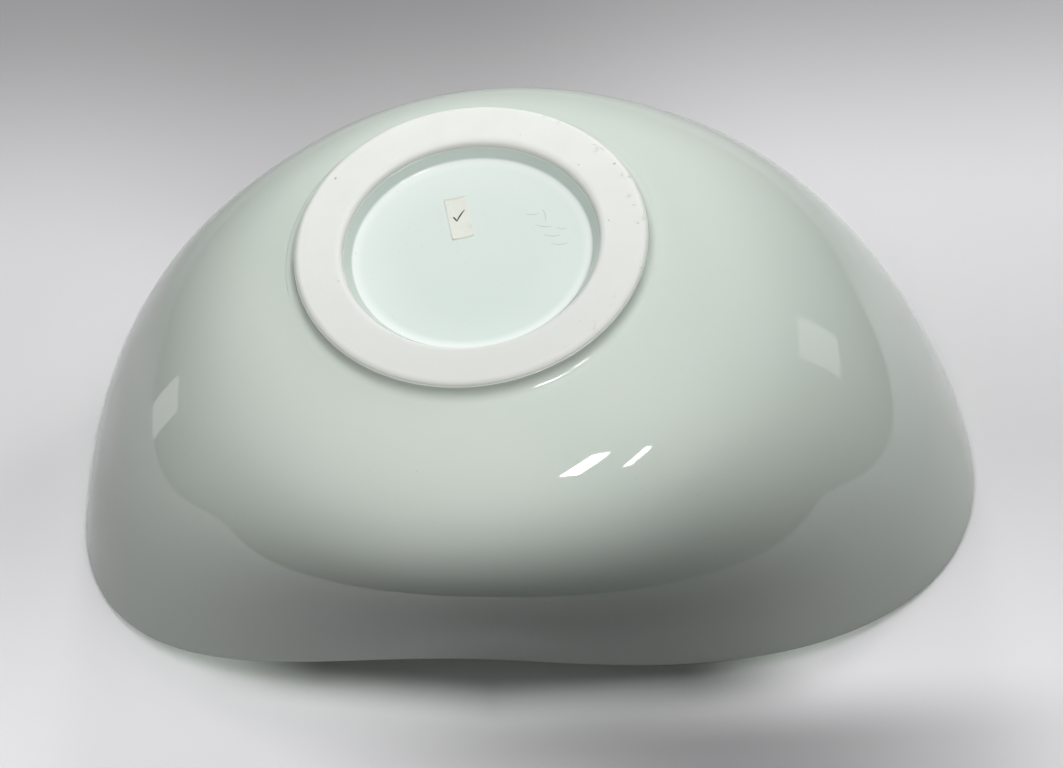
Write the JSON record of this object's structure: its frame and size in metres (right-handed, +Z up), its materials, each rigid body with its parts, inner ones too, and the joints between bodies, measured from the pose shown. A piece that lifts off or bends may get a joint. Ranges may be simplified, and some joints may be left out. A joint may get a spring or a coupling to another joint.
{
  "type": "serving bowl",
  "caption": "Free-form oval porcelain serving bowl with a wavy lip, a broad unglazed foot ring and a small paper sticker in the foot's well.",
  "frame": {"origin": "on the plane that the foot stands on, under the centre of the bowl's box; the foot's axis is 5.6 mm towards +X and 1.9 mm towards -Y from it, because neither the rim nor the wall's full front is centred on the foot", "axes": "+Z up, out of the bowl's mouth, normal to the foot's resting face; +X along the long axis of the oval, towards its lower and narrower end; +Y towards the high middle of the lip"},
  "size_m": [0.3134, 0.2345, 0.1393],
  "materials": {
    "celadon_glaze": "gloss",
    "unglazed_porcelain": "matte",
    "sticker_paper": "matte"
  },
  "bodies": {
    "root": {"bowl_shell": "celadon_glaze", "foot_ring": "unglazed_porcelain", "lot_sticker": "sticker_paper"}
  },
  "joints": []
}
